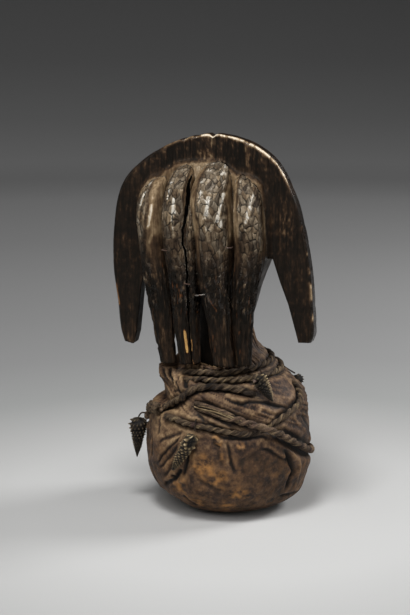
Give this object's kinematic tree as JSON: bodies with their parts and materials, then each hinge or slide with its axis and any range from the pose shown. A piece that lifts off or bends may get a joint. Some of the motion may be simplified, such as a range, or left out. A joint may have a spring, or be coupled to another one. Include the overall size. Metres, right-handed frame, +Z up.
{
  "type": "reliquary head",
  "caption": "Carved wooden head with an arched crest and hanging tresses, standing in a stuffed hide bundle bound with twisted rope.",
  "frame": {"origin": "centre of the bundle's flat underside", "axes": "+Z up, -Y the way the face looks, +Y the back of the head with its tresses"},
  "size_m": [0.2061, 0.1903, 0.3796],
  "materials": {
    "dark_wood": "worn, oiled, glossy on the high places",
    "hide": "dry and dusty, creased",
    "twisted_fibre": "matte two-ply plant fibre",
    "old_shell": "grey-brown spined shell, dull",
    "tie_thread": "matte thread",
    "staple_iron": "worn thin iron wire"
  },
  "bodies": {
    "root": {"head": "dark_wood", "hide_bundle": "hide", "neck_rope": "twisted_fibre", "shoulder_rope": "twisted_fibre", "waist_rope": "twisted_fibre", "belly_rope": "twisted_fibre", "rope_knot": "twisted_fibre", "shell_left": "old_shell", "shell_middle": "old_shell", "shell_upper": "old_shell", "shell_right": "old_shell", "tie_left": "tie_thread", "tie_middle": "tie_thread", "tie_upper": "tie_thread", "tie_right": "tie_thread", "staple_split": "staple_iron", "staple_middle": "staple_iron", "staple_left": "staple_iron", "staple_right": "staple_iron"}
  },
  "joints": []
}
